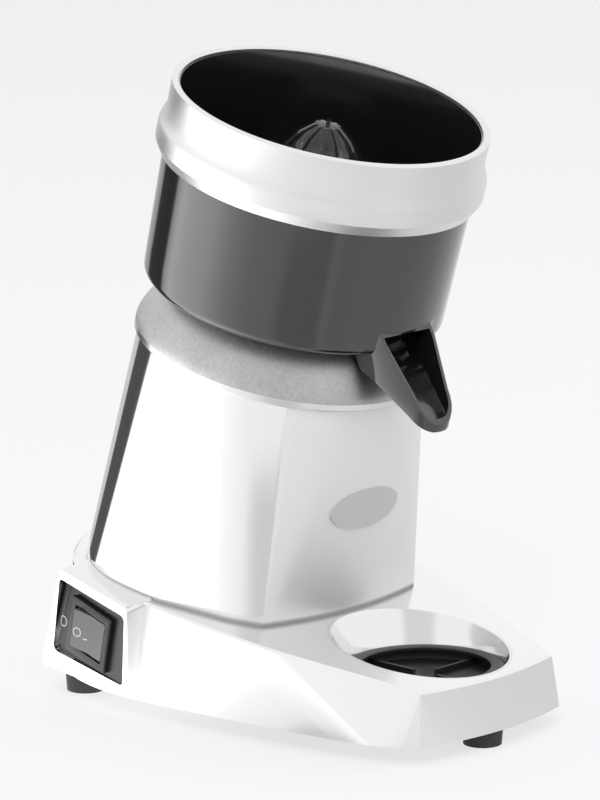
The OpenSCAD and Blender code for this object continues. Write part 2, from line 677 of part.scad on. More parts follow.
module upper_shield() color("darkgray") on_axis(column_top_w) difference() {
    union() {
        cylinder(r = shield_r, h = shield_t);
        translate([0, 0, shield_t - bearing_h - over]) cylinder(r = bearing_r + bearing_cup_wall, h = bearing_h);
        shield_posts(-upper_post_h, upper_post_h);
    }
    translate([0, 0, shield_t - bearing_h]) cylinder(r = bearing_r, h = bearing_h + over);
    translate([0, 0, -bearing_h]) cylinder(r = shaft_r + over, h = bearing_h + over);
    translate([0, 0, -upper_post_h]) bolt_holes(bolt_r + run_gap, upper_post_h + shield_t);
}
upper_post_h = column_top_w - stack_w - stack_h;
post_r = 4.5;
module shield_posts(w, h) for (k = [0 : 3]) rotate([0, 0, 45 + 90 * k]) translate([bolt_ring_r, 0, w])
    cylinder(r = post_r, h = h);
lower_post_h = stack_w - lower_shield_w;
module lower_shield() color("darkgray") on_axis(lower_shield_w) difference() {
    union() {
        cylinder(r = stator_r, h = shield_t);
        cylinder(r = bearing_r + bearing_cup_wall, h = bearing_h + bearing_seat_t);
        shield_posts(0, lower_post_h);
    }
    translate([0, 0, bearing_seat_t]) cylinder(r = bearing_r, h = bearing_h + over);
    translate([0, 0, -over]) cylinder(r = shaft_r + over, h = bearing_h);
    bolt_holes(bolt_r + run_gap, lower_post_h);
}
module stator() color("gray") on_axis(stack_w) difference() {
    cylinder(r = stator_r, h = stack_h);
    translate([0, 0, -over]) cylinder(r = rotor_r + air_gap, h = stack_h + 2 * over);
    bolt_holes(bolt_r + run_gap, stack_h);
}
winding_in = 3;
winding_gap = 1;
winding_out_r = bolt_ring_r - post_r - winding_gap;
module winding() rotate_extrude() polygon([[rotor_r + winding_in, 0], [winding_out_r, 0], [winding_out_r, winding_h * 0.6],
    [winding_out_r - winding_in, winding_h], [rotor_r + 2 * winding_in, winding_h], [rotor_r + winding_in, winding_h * 0.6]]);
module upper_winding() color("peru") on_axis(stack_w + stack_h) winding();
module lower_winding() color("peru") on_axis(stack_w) mirror([0, 0, 1]) winding();
bolt_head_h = 3;
bolt_head_r = 3.6;
nut_h = 3;
module motor_bolts() color("silver") on_axis(0) for (k = [0 : 3]) rotate([0, 0, 45 + 90 * k])
    translate([bolt_ring_r, 0, 0]) {
        translate([0, 0, column_top_w + shield_t]) cylinder(r = bolt_head_r, h = bolt_head_h);
        translate([0, 0, lower_shield_w - nut_h - over])
            cylinder(r = bolt_r, h = column_top_w + shield_t - lower_shield_w + nut_h + 2 * over);
    }
module motor_nuts() color("dimgray") on_axis(lower_shield_w - nut_h) for (k = [0 : 3]) rotate([0, 0, 45 + 90 * k])
    translate([bolt_ring_r, 0, 0]) difference() {
        cylinder(r = bolt_head_r, h = nut_h, $fn = 6);
        translate([0, 0, -over]) cylinder(r = bolt_r, h = nut_h + 2 * over);
    }

// Electrics on the bottom plate
cap_r = 16;
cap_len = 60;
cap_y = 99;
module capacitor() color("whitesmoke") on_plane() translate([-cap_len / 2, cap_y, foot_h + plate_t + cap_r + strap_t])
    rotate([0, 90, 0]) cylinder(r = cap_r, h = cap_len);
strap_t = 1.5;
strap_w = 14;
module capacitor_strap() color("silver") on_plane() translate([-strap_w / 2, cap_y, foot_h + plate_t + cap_r + strap_t])
    difference() {
        union() {
            rotate([0, 90, 0]) cylinder(r = cap_r + strap_t, h = strap_w);
            translate([0, -cap_r - strap_w, -cap_r - strap_t]) cube([strap_w, 2 * cap_r + 2 * strap_w, strap_t]);
        }
        translate([-over, 0, 0]) rotate([0, 90, 0]) cylinder(r = cap_r, h = strap_w + 2 * over);
    }
block_l = 40;
block_w = 18;
block_h = 14;
block_y = 36;
block_poles = 4;
block_hole_r = 3;
module terminal_block() color("ivory") on_plane() translate([-block_l / 2, block_y, foot_h + plate_t]) difference() {
    cube([block_l, block_w, block_h]);
    for (k = [0 : block_poles - 1]) translate([block_l * (k + 0.5) / block_poles, block_w / 2, block_h / 2])
        cylinder(r = block_hole_r, h = block_h);
}
grommet_up = 16;
grommet_z = foot_h + grommet_up;
grommet_neck_r = 7;
grommet_flange_r = 10;
grommet_bore_r = 4;
grommet_flange_t = 3;
module cable_grommet() color("#242426") on_plane() translate([0, base_len / 2 - draft_back, grommet_z])
    rotate([90, 0, 0]) rotate_extrude() polygon([[grommet_bore_r, -grommet_out], [grommet_neck_r, -grommet_out],
        [grommet_neck_r, cast_wall * 2], [grommet_flange_r, cast_wall * 2],
        [grommet_flange_r, cast_wall * 2 + grommet_flange_t], [grommet_bore_r, cast_wall * 2 + grommet_flange_t]]);
grommet_out = 3;

// Switch housing: x runs forward, y up and z out of the face; the corners are shares of the face's size
face_w = 74;
face_h = 60;
face_shares = [[0.547, 0.37], [-0.208, 0.568], [-0.639, -0.465], [0.392, -0.518]];
window_shares = [[0.499, 0.282], [-0.228, 0.473], [-0.455, -0.275], [0.342, -0.422]];
face_in = 8.6;
face_middle_x = face_in - switch_reach;
housing_depth = 30;
face_round = 3;
switch_plate_t = 1.5;
window_w = 30;
window_h = 28;
window_x = -2;
window_y = 23;
panel_low_share = -0.417;
module on_face() translate([face_middle_x, switch_back, switch_up]) rotate([90, 0, -90 - switch_turn])
    rotate([switch_tip, 0, 0]) children();
module on_panel() on_face() translate([0, face_h * panel_low_share, -recess]) rotate([-panel_tilt, 0, 0]) children();
module on_switch(z) on_panel() translate([window_x, window_y, z]) rotate([0, 0, -switch_roll]) children();
module face_outline(shares, inset) offset(r = face_round) offset(delta = -inset - face_round)
    polygon([for (s = shares) [face_w * s[0], face_h * s[1]]]);
module switch_window() on_switch(-housing_depth) translate([-window_w / 2 - plate_fit, -window_h / 2 - plate_fit, 0])
    cube([window_w + 2 * plate_fit, window_h + 2 * plate_fit, housing_depth]);
// The recess in the face, down to the seat of the tilted plate
module panel_pocket(inset) intersection() {
    on_face() translate([0, 0, -housing_depth]) linear_extrude(housing_depth + over) face_outline(window_shares, inset);
    on_panel() translate([-face_w, -face_h, -switch_plate_t]) cube([2 * face_w, 3 * face_h, housing_depth]);
}
module switch_housing() color("gainsboro") on_plane() difference() {
    on_face() translate([0, 0, -housing_depth]) linear_extrude(housing_depth) face_outline(face_shares, 0);
    base_form();
    column_form(plate_fit);
    panel_pocket(0);
    switch_window();
}
module switch_plate() color("#2a2a2d") on_plane() difference() {
    panel_pocket(plate_fit);
    on_panel() translate([-face_w, -face_h, 0]) cube([2 * face_w, 3 * face_h, housing_depth + over]);
    on_switch(-housing_depth) translate([-window_w / 2, -window_h / 2, 0]) cube([window_w, window_h, 2 * housing_depth]);
}
// Rocker switch: a snap-in body, a bezel and the rocker, whose rear half stands up at rest
bezel_t = 3;
bezel_lip = 2;
rocker_gap = 0.9;
module rocker_well(h) translate([-rocker_w / 2 - rocker_gap, -rocker_l / 2 - rocker_gap, 0])
    cube([rocker_w + 2 * rocker_gap, rocker_l + 2 * rocker_gap, h]);
module switch_frame() color("#1a1a1c") on_plane() on_switch(0) difference() {
    translate([-window_w / 2 - bezel_lip, -window_h / 2 - bezel_lip, 0])
        cube([window_w + 2 * bezel_lip, window_h + 2 * bezel_lip, bezel_t]);
    translate([0, 0, -over]) rocker_well(bezel_t + 2 * over);
}
body_depth = 22;
well_depth = 8;
module switch_body() color("#333336") on_plane() on_switch(-body_depth) difference() {
    translate([-window_w / 2, -window_h / 2, 0]) cube([window_w, window_h, body_depth]);
    translate([0, 0, body_depth - well_depth]) rocker_well(well_depth + over);
    translate([0, -rocker_l, body_depth - pivot_drop]) rotate([-90, 0, 0]) cylinder(r = rocker_pin_r, h = 2 * rocker_l);
}
pivot_drop = 3;
rocker_pin_r = 1.2;
rocker_rise = 1.2;
rocker_dip = 1.4;
rocker_top = pivot_drop + bezel_t + rocker_rise;
module rocker() color("#7c7c80") on_plane() on_switch(-pivot_drop) rotate([0, rocker_swing, 0]) difference() {
    translate([0, rocker_l / 2, 0]) rotate([90, 0, 0]) linear_extrude(rocker_l)
        polygon([[-rocker_w / 2 + rocker_gap, rocker_top], [0, rocker_top - rocker_dip],
            [rocker_w / 2 - rocker_gap, rocker_top], [rocker_w / 2, pivot_drop], [rocker_w / 2 - rocker_gap, 0],
            [rocker_w / 4, -pivot_drop], [-rocker_w / 4, -pivot_drop], [rocker_gap - rocker_w / 2, 0],
            [-rocker_w / 2, pivot_drop]]);
    translate([0, -rocker_l, 0]) rotate([-90, 0, 0]) cylinder(r = rocker_pin_r + run_gap, h = 2 * rocker_l);
}
module rocker_pin() color("silver") on_plane() on_switch(-pivot_drop) translate([0, -window_h / 2, 0]) rotate([-90, 0, 0])
    cylinder(r = rocker_pin_r, h = window_h);

base();
bottom_plate();
plate_screws();
feet();
foot_screws();
glass_dish();
drip_insert();
column();
badge();
band();
collar();
shaft_seal();
bowl();
bowl_hub();
sieve();
splash_ring();
reamer();
reamer_insert();
shaft();
drive_pin();
rotor();
fan();
upper_bearing();
lower_bearing();
upper_shield();
lower_shield();
stator();
upper_winding();
lower_winding();
motor_bolts();
motor_nuts();
capacitor();
capacitor_strap();
terminal_block();
switch_housing();
switch_plate();
switch_frame();
switch_body();
rocker();
rocker_pin();
cable_grommet();
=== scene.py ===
import bpy
import bmesh
import math
from mathutils import Euler, Matrix, Vector


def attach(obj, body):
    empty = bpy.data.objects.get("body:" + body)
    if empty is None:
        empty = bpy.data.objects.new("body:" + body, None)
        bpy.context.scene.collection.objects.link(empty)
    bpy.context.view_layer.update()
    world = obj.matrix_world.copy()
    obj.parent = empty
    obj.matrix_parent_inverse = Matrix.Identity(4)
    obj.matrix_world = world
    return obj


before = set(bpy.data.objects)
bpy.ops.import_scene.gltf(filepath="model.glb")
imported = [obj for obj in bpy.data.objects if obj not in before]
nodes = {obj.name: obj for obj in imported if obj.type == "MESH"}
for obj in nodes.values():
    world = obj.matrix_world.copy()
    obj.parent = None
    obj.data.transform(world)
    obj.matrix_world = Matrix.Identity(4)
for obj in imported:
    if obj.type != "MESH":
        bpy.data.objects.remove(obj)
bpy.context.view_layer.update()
print("frame loaded:", len(nodes), "nodes")

# the machine's own lines, as in the part's source, in metres
machine = {
    "planeX": 0.005,                    # the machine's middle plane
    "lean": math.radians(15),           # forward lean of the motor, collar, bowl and ring
    "rim": (0.005, -0.0173, 0.3279),    # the rim's middle, on the leaning axis
    "deckSlope": math.radians(9.6),
}

# camera
view = {
    "place": (-1.9826, -1.8376, 0.7513),
    "azimuth": 222.844,        # degrees from +X towards +Y, to where the camera stands
    "elevation": 12.2005,
    "film": 36,                # mm along the picture's long side, with its 800 px
    "lens": 232.98,            # mm
    "nearest": 0.05,
    "farthest": 60,
}


def makeCamera():
    data = bpy.data.cameras.new("viewCamera")
    data.sensor_width = view["film"]
    data.lens = view["lens"]
    data.clip_start = view["nearest"]
    data.clip_end = view["farthest"]
    camera = bpy.data.objects.new("viewCamera", data)
    turn = Euler((math.radians(90 - view["elevation"]), 0, math.radians(90 + view["azimuth"])))
    camera.matrix_world = Matrix.Translation(view["place"]) @ turn.to_matrix().to_4x4()
    bpy.context.scene.collection.objects.link(camera)
    bpy.context.scene.camera = camera


makeCamera()
print("camera placed")


# shader maths
class Wire:
    # a shader socket that sums and products can be written on
    def __init__(self, paint, socket):
        self.paint = paint
        self.socket = socket

    def maths(self, operation, a, b=0.0):
        return self.paint.node("ShaderNodeMath", {"operation": operation}, {0: a, 1: b})

    def __add__(self, other):
        return self.maths("ADD", self, other)

    def __radd__(self, other):
        return self.maths("ADD", other, self)

    def __sub__(self, other):
        return self.maths("SUBTRACT", self, other)

    def __rsub__(self, other):
        return self.maths("SUBTRACT", other, self)

    def __mul__(self, other):
        return self.maths("MULTIPLY", self, other)

    def __rmul__(self, other):
        return self.maths("MULTIPLY", other, self)

    def __abs__(self):
        return self.maths("ABSOLUTE", self)

    def root(self):
        return self.maths("SQRT", self)

    def wave(self):
        # a sine wave between 0 and 1
        return self.maths("SINE", self) * 0.5 + 0.5

    def step(self, low, high, toLow=0.0, toHigh=1.0):
        # a soft step between two values
        return self.paint.node("ShaderNodeMapRange", {"interpolation_type": "SMOOTHSTEP"},
                               {"Value": self, "From Min": low, "From Max": high,
                                "To Min": toLow, "To Max": toHigh})


def blend(a, b, share):
    # numbers only, colours go through mixColour
    return a * (1 - share) + b * share


def radiusOf(x, y):
    return (x * x + y * y).root()


class Paint:
    # a material, or the world, and its nodes
    def __init__(self, name, world=None):
        self.material = world or bpy.data.materials.new(name)
        self.material.use_nodes = True
        self.tree = self.material.node_tree
        self.tree.nodes.clear()

    def setStops(self, ramp, stops):
        while len(ramp.elements) < len(stops):
            ramp.elements.new(0.5)
        for element, (place, colour) in zip(ramp.elements, stops):
            element.position = place
            element.color = colour

    def inputOf(self, made, key):
        # by number, or by the name of a socket that is in use
        if isinstance(key, int):
            return made.inputs[key]
        return next(socket for socket in made.inputs if socket.name == key and socket.enabled)

    def node(self, kind, settings=None, sockets=None, output=None):
        made = self.tree.nodes.new(kind)
        for key, value in (settings or {}).items():
            if key == "stops":
                self.setStops(made.color_ramp, value)
            else:
                setattr(made, key, value)
        for key, value in (sockets or {}).items():
            socket = self.inputOf(made, key)
            if isinstance(value, Wire):
                self.tree.links.new(value.socket, socket)
            else:
                socket.default_value = value
        outputs = [s for s in made.outputs if s.enabled and (output is None or s.name == output)]
        return Wire(self, outputs[0]) if outputs else made

    def place(self):
        return self.node("ShaderNodeTexCoord", output="Object")

    def onAxis(self):
        # coordinates that stand on the leaning axis, with the rim's middle as zero
        lean = machine["lean"]
        middle = Matrix.Rotation(-lean, 3, "X") @ Vector(machine["rim"])
        return self.node("ShaderNodeMapping", {"vector_type": "POINT"},
                         {"Vector": self.place(), "Location": -middle, "Rotation": (-lean, 0, 0)})

    def noise(self, vector, scale, detail, rough=0.5):
        return self.node("ShaderNodeTexNoise", {},
                         {"Vector": vector, "Scale": scale, "Detail": detail, "Roughness": rough},
                         output="Fac")

    def stretch(self, vector, scale):
        return self.node("ShaderNodeMapping", {"vector_type": "POINT"}, {"Vector": vector, "Scale": scale})

    def split(self, vector, part):
        return self.node("ShaderNodeSeparateXYZ", {}, {"Vector": vector}, output=part)

    def axes(self, vector):
        return [self.split(vector, part) for part in "XYZ"]

    def ray(self, kind):
        return self.node("ShaderNodeLightPath", output=kind)

    def mixColour(self, mask, a, b):
        return self.node("ShaderNodeMix", {"data_type": "RGBA"}, {"Factor": mask, "A": a, "B": b})

    def mixShader(self, mask, a, b):
        return self.node("ShaderNodeMixShader", {}, {0: mask, 1: a, 2: b})

    def bump(self, height, strength, distance, normal=None):
        sockets = {"Height": height, "Strength": strength, "Distance": distance}
        if normal:
            sockets["Normal"] = normal
        return self.node("ShaderNodeBump", {}, sockets)

    def finish(self, sockets):
        shader = self.node("ShaderNodeBsdfPrincipled", {}, sockets)
        self.node("ShaderNodeOutputMaterial", {}, {"Surface": shader})
        return self.material


def rgb(value, green=None, blue=None):
    return (value, value if green is None else green, value if blue is None else blue, 1.0)


# finishes: a noise is given by its scale, its detail and, where it isn't 0.5, its roughness
columnLines = {                # where the column's polish changes, and where shade is painted along its foot, in metres
    "footHalf": 0.060,         # half width of the front face at the deck
    "narrowing": 0.054,        # what that half loses for each metre of height
    "footZ": 0.0603,           # the deck's height at y = 0
    "crease": 0.0003,          # the finish changes within this of each crease
    "frontEnd": (0.0, 0.01),   # the y between which the front face's finish ends
    "frontRough": 0.4,
    "frontDull": 0.45,         # how much of the front face's mirror is lost to its satin finish
    "footLine": (0.0006, 0.003),    # heights over the deck at which the painted shadow line fades and is gone
    "footRough": 0.2,
    "footShare": 0.75,
    "footShadowTone": 0.3,
}


def frontFace(paint, place):
    look = columnLines
    x, y, z = paint.axes(place)
    half = look["footHalf"] - (z - look["footZ"]) * look["narrowing"]
    inside = (half - abs(x - machine["planeX"])).step(-look["crease"], look["crease"])
    return inside * (1 - y.step(*look["frontEnd"]))


def paintedFootShadow(paint, place):
    # painted shade: a dark line along the column's foot where it meets the deck, which is rougher there
    # too
    y, z = paint.split(place, "Y"), paint.split(place, "Z")
    height = z - y * math.tan(machine["deckSlope"]) - columnLines["footZ"]
    return 1 - height.step(*columnLines["footLine"])


polishing = {
    "cloud": (9, 3),
    "haze": (60, 4, 0.6),
    "scratch": (1, 2),
    "scratchStretch": (900, 60, 60),
    "wave": (22, 2),
    "cloudEdge": (0.3, 0.7),
    "duller": 0.02,            # what the clouded parts lose in tone
    "bluer": 0.01,             # what the bright parts gain in blue
    "cloudRough": 0.03,
    "hazeRough": 0.03,
    "scratchRough": 0.02,
    "waveHeight": 0.0006,
    "hazeStrength": 0.02,
    "hazeHeight": 0.0003,
}


def polishedCast(name, tone=0.9, rough=0.05, wave=0.12, column=False):
    look = polishing
    paint = Paint(name)
    place = paint.place()
    cloud = paint.noise(place, *look["cloud"])
    haze = paint.noise(place, *look["haze"])
    scratch = paint.noise(paint.stretch(place, look["scratchStretch"]), *look["scratch"])
    roughness = rough + cloud * look["cloudRough"] + haze * look["hazeRough"]
    roughness = roughness + scratch * look["scratchRough"]
    bright = rgb(tone, tone, tone + look["bluer"])
    colour = paint.mixColour(cloud.step(*look["cloudEdge"]), rgb(tone - look["duller"]), bright)
    normal = paint.bump(paint.noise(place, *look["wave"]), wave, look["waveHeight"])
    normal = paint.bump(haze, look["hazeStrength"], look["hazeHeight"], normal)
    metallic = 1.0
    if column:
        foot, front = paintedFootShadow(paint, place), frontFace(paint, place)
        metallic = 1 - front * columnLines["frontDull"]
        roughness = roughness + front * columnLines["frontRough"] + foot * columnLines["footRough"]
        # painted shadow: the colour darkens along the column's foot
        colour = paint.mixColour(foot * columnLines["footShare"], colour, rgb(columnLines["footShadowTone"]))
    return paint.finish({"Base Color": colour, "Metallic": metallic, "Roughness": roughness,
                         "Normal": normal})


turning = {
    "lineDetail": 4.0,
    "cloud": (14, 3),
    "darker": 0.04,            # the lines' two tones, from the metal's own
    "paler": 0.02,
    "lineRough": 0.12,
    "cloudRough": 0.06,
    "lineHeight": 0.0003,
}


def spunMetal(name, tone, rough, lines, strength):
    # turned metal: fine lines run round the leaning axis
    look = turning
    paint = Paint(name)
    place = paint.onAxis()
    x, y, z = paint.axes(place)
    across = paint.node("ShaderNodeTexNoise", {"noise_dimensions": "1D"},
                        {"W": (z + radiusOf(x, y)) * lines, "Scale": 1.0, "Detail": look["lineDetail"]},
                        output="Fac")
    cloud = paint.noise(place, *look["cloud"])
    roughness = rough + across * look["lineRough"] + cloud * look["cloudRough"]
    colour = paint.mixColour(across, rgb(tone - look["darker"]), rgb(tone + look["paler"]))
    return paint.finish({"Base Color": colour, "Metallic": 1.0, "Roughness": roughness,
                         "Normal": paint.bump(across, strength, look["lineHeight"])})


casting = {
    "blotch": (38, 5, 0.62),
    "grain": (520, 3, 0.6),
    "pits": (240, 2),
    "pitEdge": (0.64, 0.78),
    "pitShare": 0.35,
    "pitTone": 0.75,
    "grainInTone": 0.6,        # the grain's share, the blotches have the rest
    "grainInHeight": 0.8,
    "toneEdge": (0.25, 0.75),
    "grainRough": 0.12,
    "blotchRough": 0.04,
    "strength": 0.22,
    "height": 0.0003,
}


def castMetal(name, dark, pale, rough):
    # as cast: mottled, with a fine grain
    look = casting
    paint = Paint(name)
    place = paint.place()
    blotch = paint.noise(place, *look["blotch"])
    grain = paint.noise(place, *look["grain"])
    pits = paint.noise(place, *look["pits"]).step(*look["pitEdge"])
    mottle = blend(blotch, grain, look["grainInTone"]).step(*look["toneEdge"])
    colour = paint.mixColour(mottle, rgb(dark), rgb(pale))
    colour = paint.mixColour(pits * look["pitShare"], colour, rgb(dark * look["pitTone"]))
    normal = paint.bump(blend(blotch, grain, look["grainInHeight"]), look["strength"], look["height"])
    roughness = rough + grain * look["grainRough"] + blotch * look["blotchRough"]
    return paint.finish({"Base Color": colour, "Metallic": 1.0, "Roughness": roughness, "Normal": normal})


moulding = {
    "cloud": (24, 3),
    "fine": (700, 2),
    "spread": 0.12,            # how far the colour varies to either side of its own
    "cloudRough": 0.05,
    "fineRough": 0.03,
    "coatRough": 0.06,
    "grainHeight": 0.0003,
}


def mouldedPlastic(name, colour, rough, grain=0.05, coat=0.0, level=0.5):
    look = moulding
    paint = Paint(name)
    place = paint.place()
    cloud = paint.noise(place, *look["cloud"])
    fine = paint.noise(place, *look["fine"])
    darker = rgb(*(part * (1 - look["spread"]) for part in colour))
    paler = rgb(*(min(part * (1 + look["spread"]), 1) for part in colour))
    return paint.finish({"Base Color": paint.mixColour(cloud, darker, paler),
                         "Roughness": rough + cloud * look["cloudRough"] + fine * look["fineRough"],
                         "Coat Weight": coat, "Coat Roughness": look["coatRough"],
                         "Specular IOR Level": level,
                         "Normal": paint.bump(fine, grain, look["grainHeight"])})


clearLook = {
    "swirl": (55, 3),
    "darker": 0.9,             # the darker swirls' share of the colour
    "swirlRough": 0.05,
    "through": 0.92,           # how much of the light goes through
    "bending": 1.5,
    "strength": 0.05,
    "height": 0.0005,
}


def clearPlastic(name, colour, rough):
    look = clearLook
    paint = Paint(name)
    swirl = paint.noise(paint.place(), *look["swirl"])
    darker = rgb(*(part * look["darker"] for part in colour))
    return paint.finish({"Base Color": paint.mixColour(swirl, darker, rgb(*colour)),
                         "Roughness": rough + swirl * look["swirlRough"],
                         "Transmission Weight": look["through"], "IOR": look["bending"],
                         "Normal": paint.bump(swirl, look["strength"], look["height"])})


rubberLook = {
    "dust": (120, 4, 0.6),
    "dustEdge": (0.45, 0.8),
    "fine": (900, 2),
    "clean": 0.03,             # tones
    "dusty": 0.055,
    "rough": 0.62,
    "dustRough": 0.2,
    "strength": 0.3,
    "height": 0.0003,
}


def rubber(name):
    look = rubberLook
    paint = Paint(name)
    place = paint.place()
    dust = paint.noise(place, *look["dust"])
    fine = paint.noise(place, *look["fine"])
    colour = paint.mixColour(dust.step(*look["dustEdge"]), rgb(look["clean"]), rgb(look["dusty"]))
    return paint.finish({"Base Color": colour,
                         "Roughness": look["rough"] + dust * look["dustRough"],
                         "Normal": paint.bump(fine, look["strength"], look["height"])})


winding = {
    "phase": 5200,             # radians for each metre, which is a wire every 1.2 mm
    "layers": (0.5, 1),        # what is left of a wire's height between two layers, and on one
    # painted shade between the wires, and painted light on their tops
    "shadow": (0.18, 0.05, 0.02),
    "bright": (0.62, 0.27, 0.13),
    "metal": 0.8,
    "rough": 0.32,
    "wireRough": 0.1,
    "strength": 0.8,
    "height": 0.0006,
}


def woundCopper(name):
    look = winding
    paint = Paint(name)
    x, y, z = paint.axes(paint.onAxis())
    layers = (radiusOf(x, y) * look["phase"]).wave().step(0, 1, *look["layers"])
    wires = (z * look["phase"]).wave() * layers
    return paint.finish({"Base Color": paint.mixColour(wires, rgb(*look["shadow"]), rgb(*look["bright"])),
                         "Metallic": look["metal"],
                         "Roughness": look["rough"] + wires * look["wireRough"],
                         "Normal": paint.bump(wires, look["strength"], look["height"])})


lamination = {
    "phase": 6283,             # radians for each metre, which is a sheet every millimetre
    "rust": (60, 4),
    "rustEdge": (0.5, 0.8),
    "steel": (0.25, 0.25, 0.27),
    "rusty": (0.2, 0.15, 0.12),
    "metal": 0.9,
    "rough": 0.38,
    "sheetRough": 0.2,
    "strength": 0.7,
    "height": 0.0005,
}


def laminated(name):
    look = lamination
    paint = Paint(name)
    place = paint.onAxis()
    sheets = (paint.split(place, "Z") * look["phase"]).wave()
    rust = paint.noise(place, *look["rust"]).step(*look["rustEdge"])
    return paint.finish({"Base Color": paint.mixColour(rust, rgb(*look["steel"]), rgb(*look["rusty"])),
                         "Metallic": look["metal"],
                         "Roughness": look["rough"] + sheets * look["sheetRough"],
                         "Normal": paint.bump(sheets, look["strength"], look["height"])})


finishes = {
    "base": polishedCast("polishedBase", rough=0.16, wave=0.08),
    "column": polishedCast("polishedColumn", column=True),
    "band": polishedCast("polishedBand", tone=0.84, rough=0.2, wave=0.1),
    "ring": spunMetal("satinRing", tone=0.86, rough=0.26, lines=2600, strength=0.12),
    "mirror": spunMetal("mirrorSteel", tone=0.86, rough=0.05, lines=900, strength=0.04),
    "chrome": polishedCast("chromeTrim", tone=0.88, rough=0.04, wave=0.1),
    "cast": castMetal("castCollar", dark=0.48, pale=0.64, rough=0.36),
    "shield": castMetal("dieCastShield", dark=0.4, pale=0.6, rough=0.4),
    "sheet": castMetal("steelSheet", dark=0.5, pale=0.62, rough=0.3),
    "zinc": polishedCast("zincPlate", tone=0.62, rough=0.26, wave=0.2),
    "ground": polishedCast("groundSteel", tone=0.7, rough=0.12, wave=0.05),
    "badge": polishedCast("barePlate", tone=0.72, rough=0.34, wave=0.05),
    "bowl": mouldedPlastic("glossBlack", (0.01, 0.01, 0.012), rough=0.07, grain=0.02, coat=0.5, level=0.9),
    "black": mouldedPlastic("satinBlack", (0.013, 0.013, 0.014), rough=0.38, grain=0.25),
    "plate": mouldedPlastic("switchPlateBlack", (0.02, 0.02, 0.021), rough=0.3, grain=0.35),
    "dark": mouldedPlastic("darkPlastic", (0.04, 0.04, 0.045), rough=0.4, grain=0.2),
    "sieve": mouldedPlastic("sieveBlack", (0.018, 0.018, 0.02), rough=0.22),
    "rocker": mouldedPlastic("rockerGrey", (0.12, 0.12, 0.125), rough=0.2, grain=0.1, coat=0.4),
    "ivory": mouldedPlastic("ivoryBlock", (0.72, 0.66, 0.5), rough=0.4, grain=0.1),
    "print": mouldedPlastic("whitePrint", (0.8, 0.8, 0.8), rough=0.45),
    "white": mouldedPlastic("capacitorCase", (0.75, 0.75, 0.72), rough=0.35),
    "clear": clearPlastic("smokeClear", (0.22, 0.23, 0.25), rough=0.05),
    "rubber": rubber("footRubber"),
    "copper": woundCopper("woundCopper"),
    "stack": laminated("laminatedStack"),
}
wears = {                      # the nodes that wear each finish
    "base": ["base"],
    "column": ["column"],
    "band": ["band"],
    "ring": ["splash_ring"],
    "mirror": ["glass_dish"],
    "chrome": ["switch_housing"],
    "cast": ["collar"],
    "shield": ["upper_shield", "lower_shield"],
    "sheet": ["bottom_plate", "capacitor_strap"],
    "zinc": ["plate_screws", "foot_screws", "motor_bolts", "motor_nuts"],
    "ground": ["shaft", "drive_pin", "rocker_pin", "upper_bearing", "lower_bearing"],
    "badge": ["badge"],
    "bowl": ["bowl", "bowl_hub"],
    "black": ["drip_insert", "switch_frame", "switch_body"],
    "plate": ["switch_plate"],
    "dark": ["reamer_insert", "fan"],
    "sieve": ["sieve"],
    "rocker": ["rocker"],
    "ivory": ["terminal_block"],
    "white": ["capacitor"],
    "clear": ["reamer"],
    "rubber": ["feet", "shaft_seal", "cable_grommet"],
    "copper": ["upper_winding", "lower_winding"],
    "stack": ["stator", "rotor"],
}
edges = {                      # widths in metres
    "weld": 0.00001,           # points of a mesh that are closer than this become one
    "softWidths": {"bowl": 0.0006, "switch_housing": 0.0009, "switch_frame": 0.0007, "rocker": 0.0005,
                   "drip_insert": 0.0004},
    "softTurn": 35,            # degrees from which an edge of those is softened
    "crispTurn": 28,           # degrees from which an edge stays crisp
    "crispTurns": {"column": 5.5},     # the column's front creases are slight
    "evened": ("base", "column"),      # large facets set the shading, slivers follow
    "evenWeight": 80,
}


def dressNode(name, finish):
    piece = nodes[name]
    piece.data.materials.clear()
    piece.data.materials.append(finishes[finish])
    piece.data.polygons.foreach_set("use_smooth", [True] * len(piece.data.polygons))
    weld = piece.modifiers.new("weld", "WELD")
    weld.merge_threshold = edges["weld"]
    if name in edges["softWidths"]:
        bevel = piece.modifiers.new("softEdges", "BEVEL")
        bevel.width = edges["softWidths"][name]
        bevel.segments = 2
        bevel.limit_method = "ANGLE"
        bevel.angle_limit = math.radians(edges["softTurn"])
        bevel.harden_normals = False
    split = piece.modifiers.new("crispEdges", "EDGE_SPLIT")
    split.split_angle = math.radians(edges["crispTurns"].get(name, edges["crispTurn"]))
    if name in edges["evened"]:
        even = piece.modifiers.new("evenShading", "WEIGHTED_NORMAL")
        even.mode = "FACE_AREA"
        even.weight = edges["evenWeight"]


for finish, names in wears.items():
    for name in names:
        dressNode(name, finish)
print("nodes dressed, finishes:", len(finishes))


# marks by the switch
switchMarks = {
    "stroke": 0.0008,          # a line's width, in metres
    "stand": 0.0003,           # how far a mark stands in and out of its surface
    "strokeSides": 8,
    "ringSteps": 40,
    "barSoft": 0.4,            # the bar's rounded edge, as a share of the stand
    "merge": 0.000001,
    "rings": {                 # middle, way it faces, radius, body
        "plateMark": ((-0.0805, 0.1008, 0.0424), (-0.991, 0.13, 0), 0.0027, "root"),
        "rockerOffMark": ((-0.08765, 0.0835, 0.0407), (-0.9925, -0.12, -0.06), 0.0024, "rocker_body"),
    },
    "bars": {                  # middle, way it faces, length, body
        "rockerOnMark": ((-0.0868, 0.0781, 0.0374), (-0.9925, -0.12, -0.06), 0.0028, "rocker_body"),
    },
}


